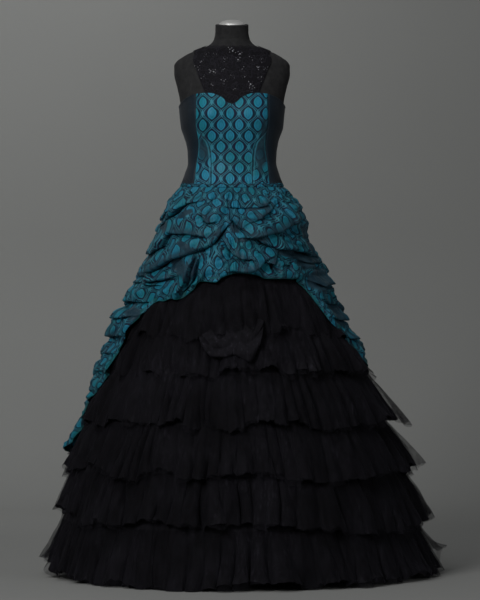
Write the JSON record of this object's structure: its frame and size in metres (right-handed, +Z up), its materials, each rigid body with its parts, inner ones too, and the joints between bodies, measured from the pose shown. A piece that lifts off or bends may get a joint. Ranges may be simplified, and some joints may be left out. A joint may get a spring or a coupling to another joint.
{
  "type": "wedding dress on dress form",
  "caption": "Strapless wedding dress with damask bodice, lace yoke, picked-up overskirt and tulle tiers, standing on a limbless dress form.",
  "frame": {"origin": "middle of the whole object's footprint, on the floor under the stand's base and the hem", "axes": "+Z up, the front of the dress looks along -Y, +X to the right of a person who looks at the front"},
  "size_m": [1.0446, 1.0752, 1.4905],
  "materials": {
    "damask": "changeable teal damask, figure in satin on a dark ground",
    "slate_satin": "plain slate satin with a soft sheen",
    "black_lace": "black beaded lace on net",
    "tulle": "black tulle, dry and slightly sheer at its edges",
    "skirt_lining": "plain black lining",
    "form_cloth": "matte black jersey over the form",
    "cap_metal": "satin silver",
    "stand_metal": "semi-gloss black"
  },
  "bodies": {
    "root": {"form_torso": "form_cloth", "form_neck_cap": "cap_metal", "form_pole": "stand_metal", "form_base": "stand_metal", "bodice_front": "damask", "bodice_gore_left": "damask", "bodice_gore_right": "damask", "bodice_side_left": "slate_satin", "bodice_side_right": "slate_satin", "bodice_back_left": "slate_satin", "bodice_back_right": "slate_satin", "back_placket": "slate_satin", "lace_yoke_front": "black_lace", "lace_yoke_back": "black_lace", "waist_band": "damask", "overskirt_front": "damask", "overskirt_left": "damask", "overskirt_right": "damask", "skirt_base": "skirt_lining", "tulle_puff": "tulle", "tulle_tier_1": "tulle", "tulle_tier_2": "tulle", "tulle_tier_3": "tulle", "tulle_tier_4": "tulle", "tulle_tier_5": "tulle", "tulle_tier_6": "tulle"}
  },
  "joints": []
}
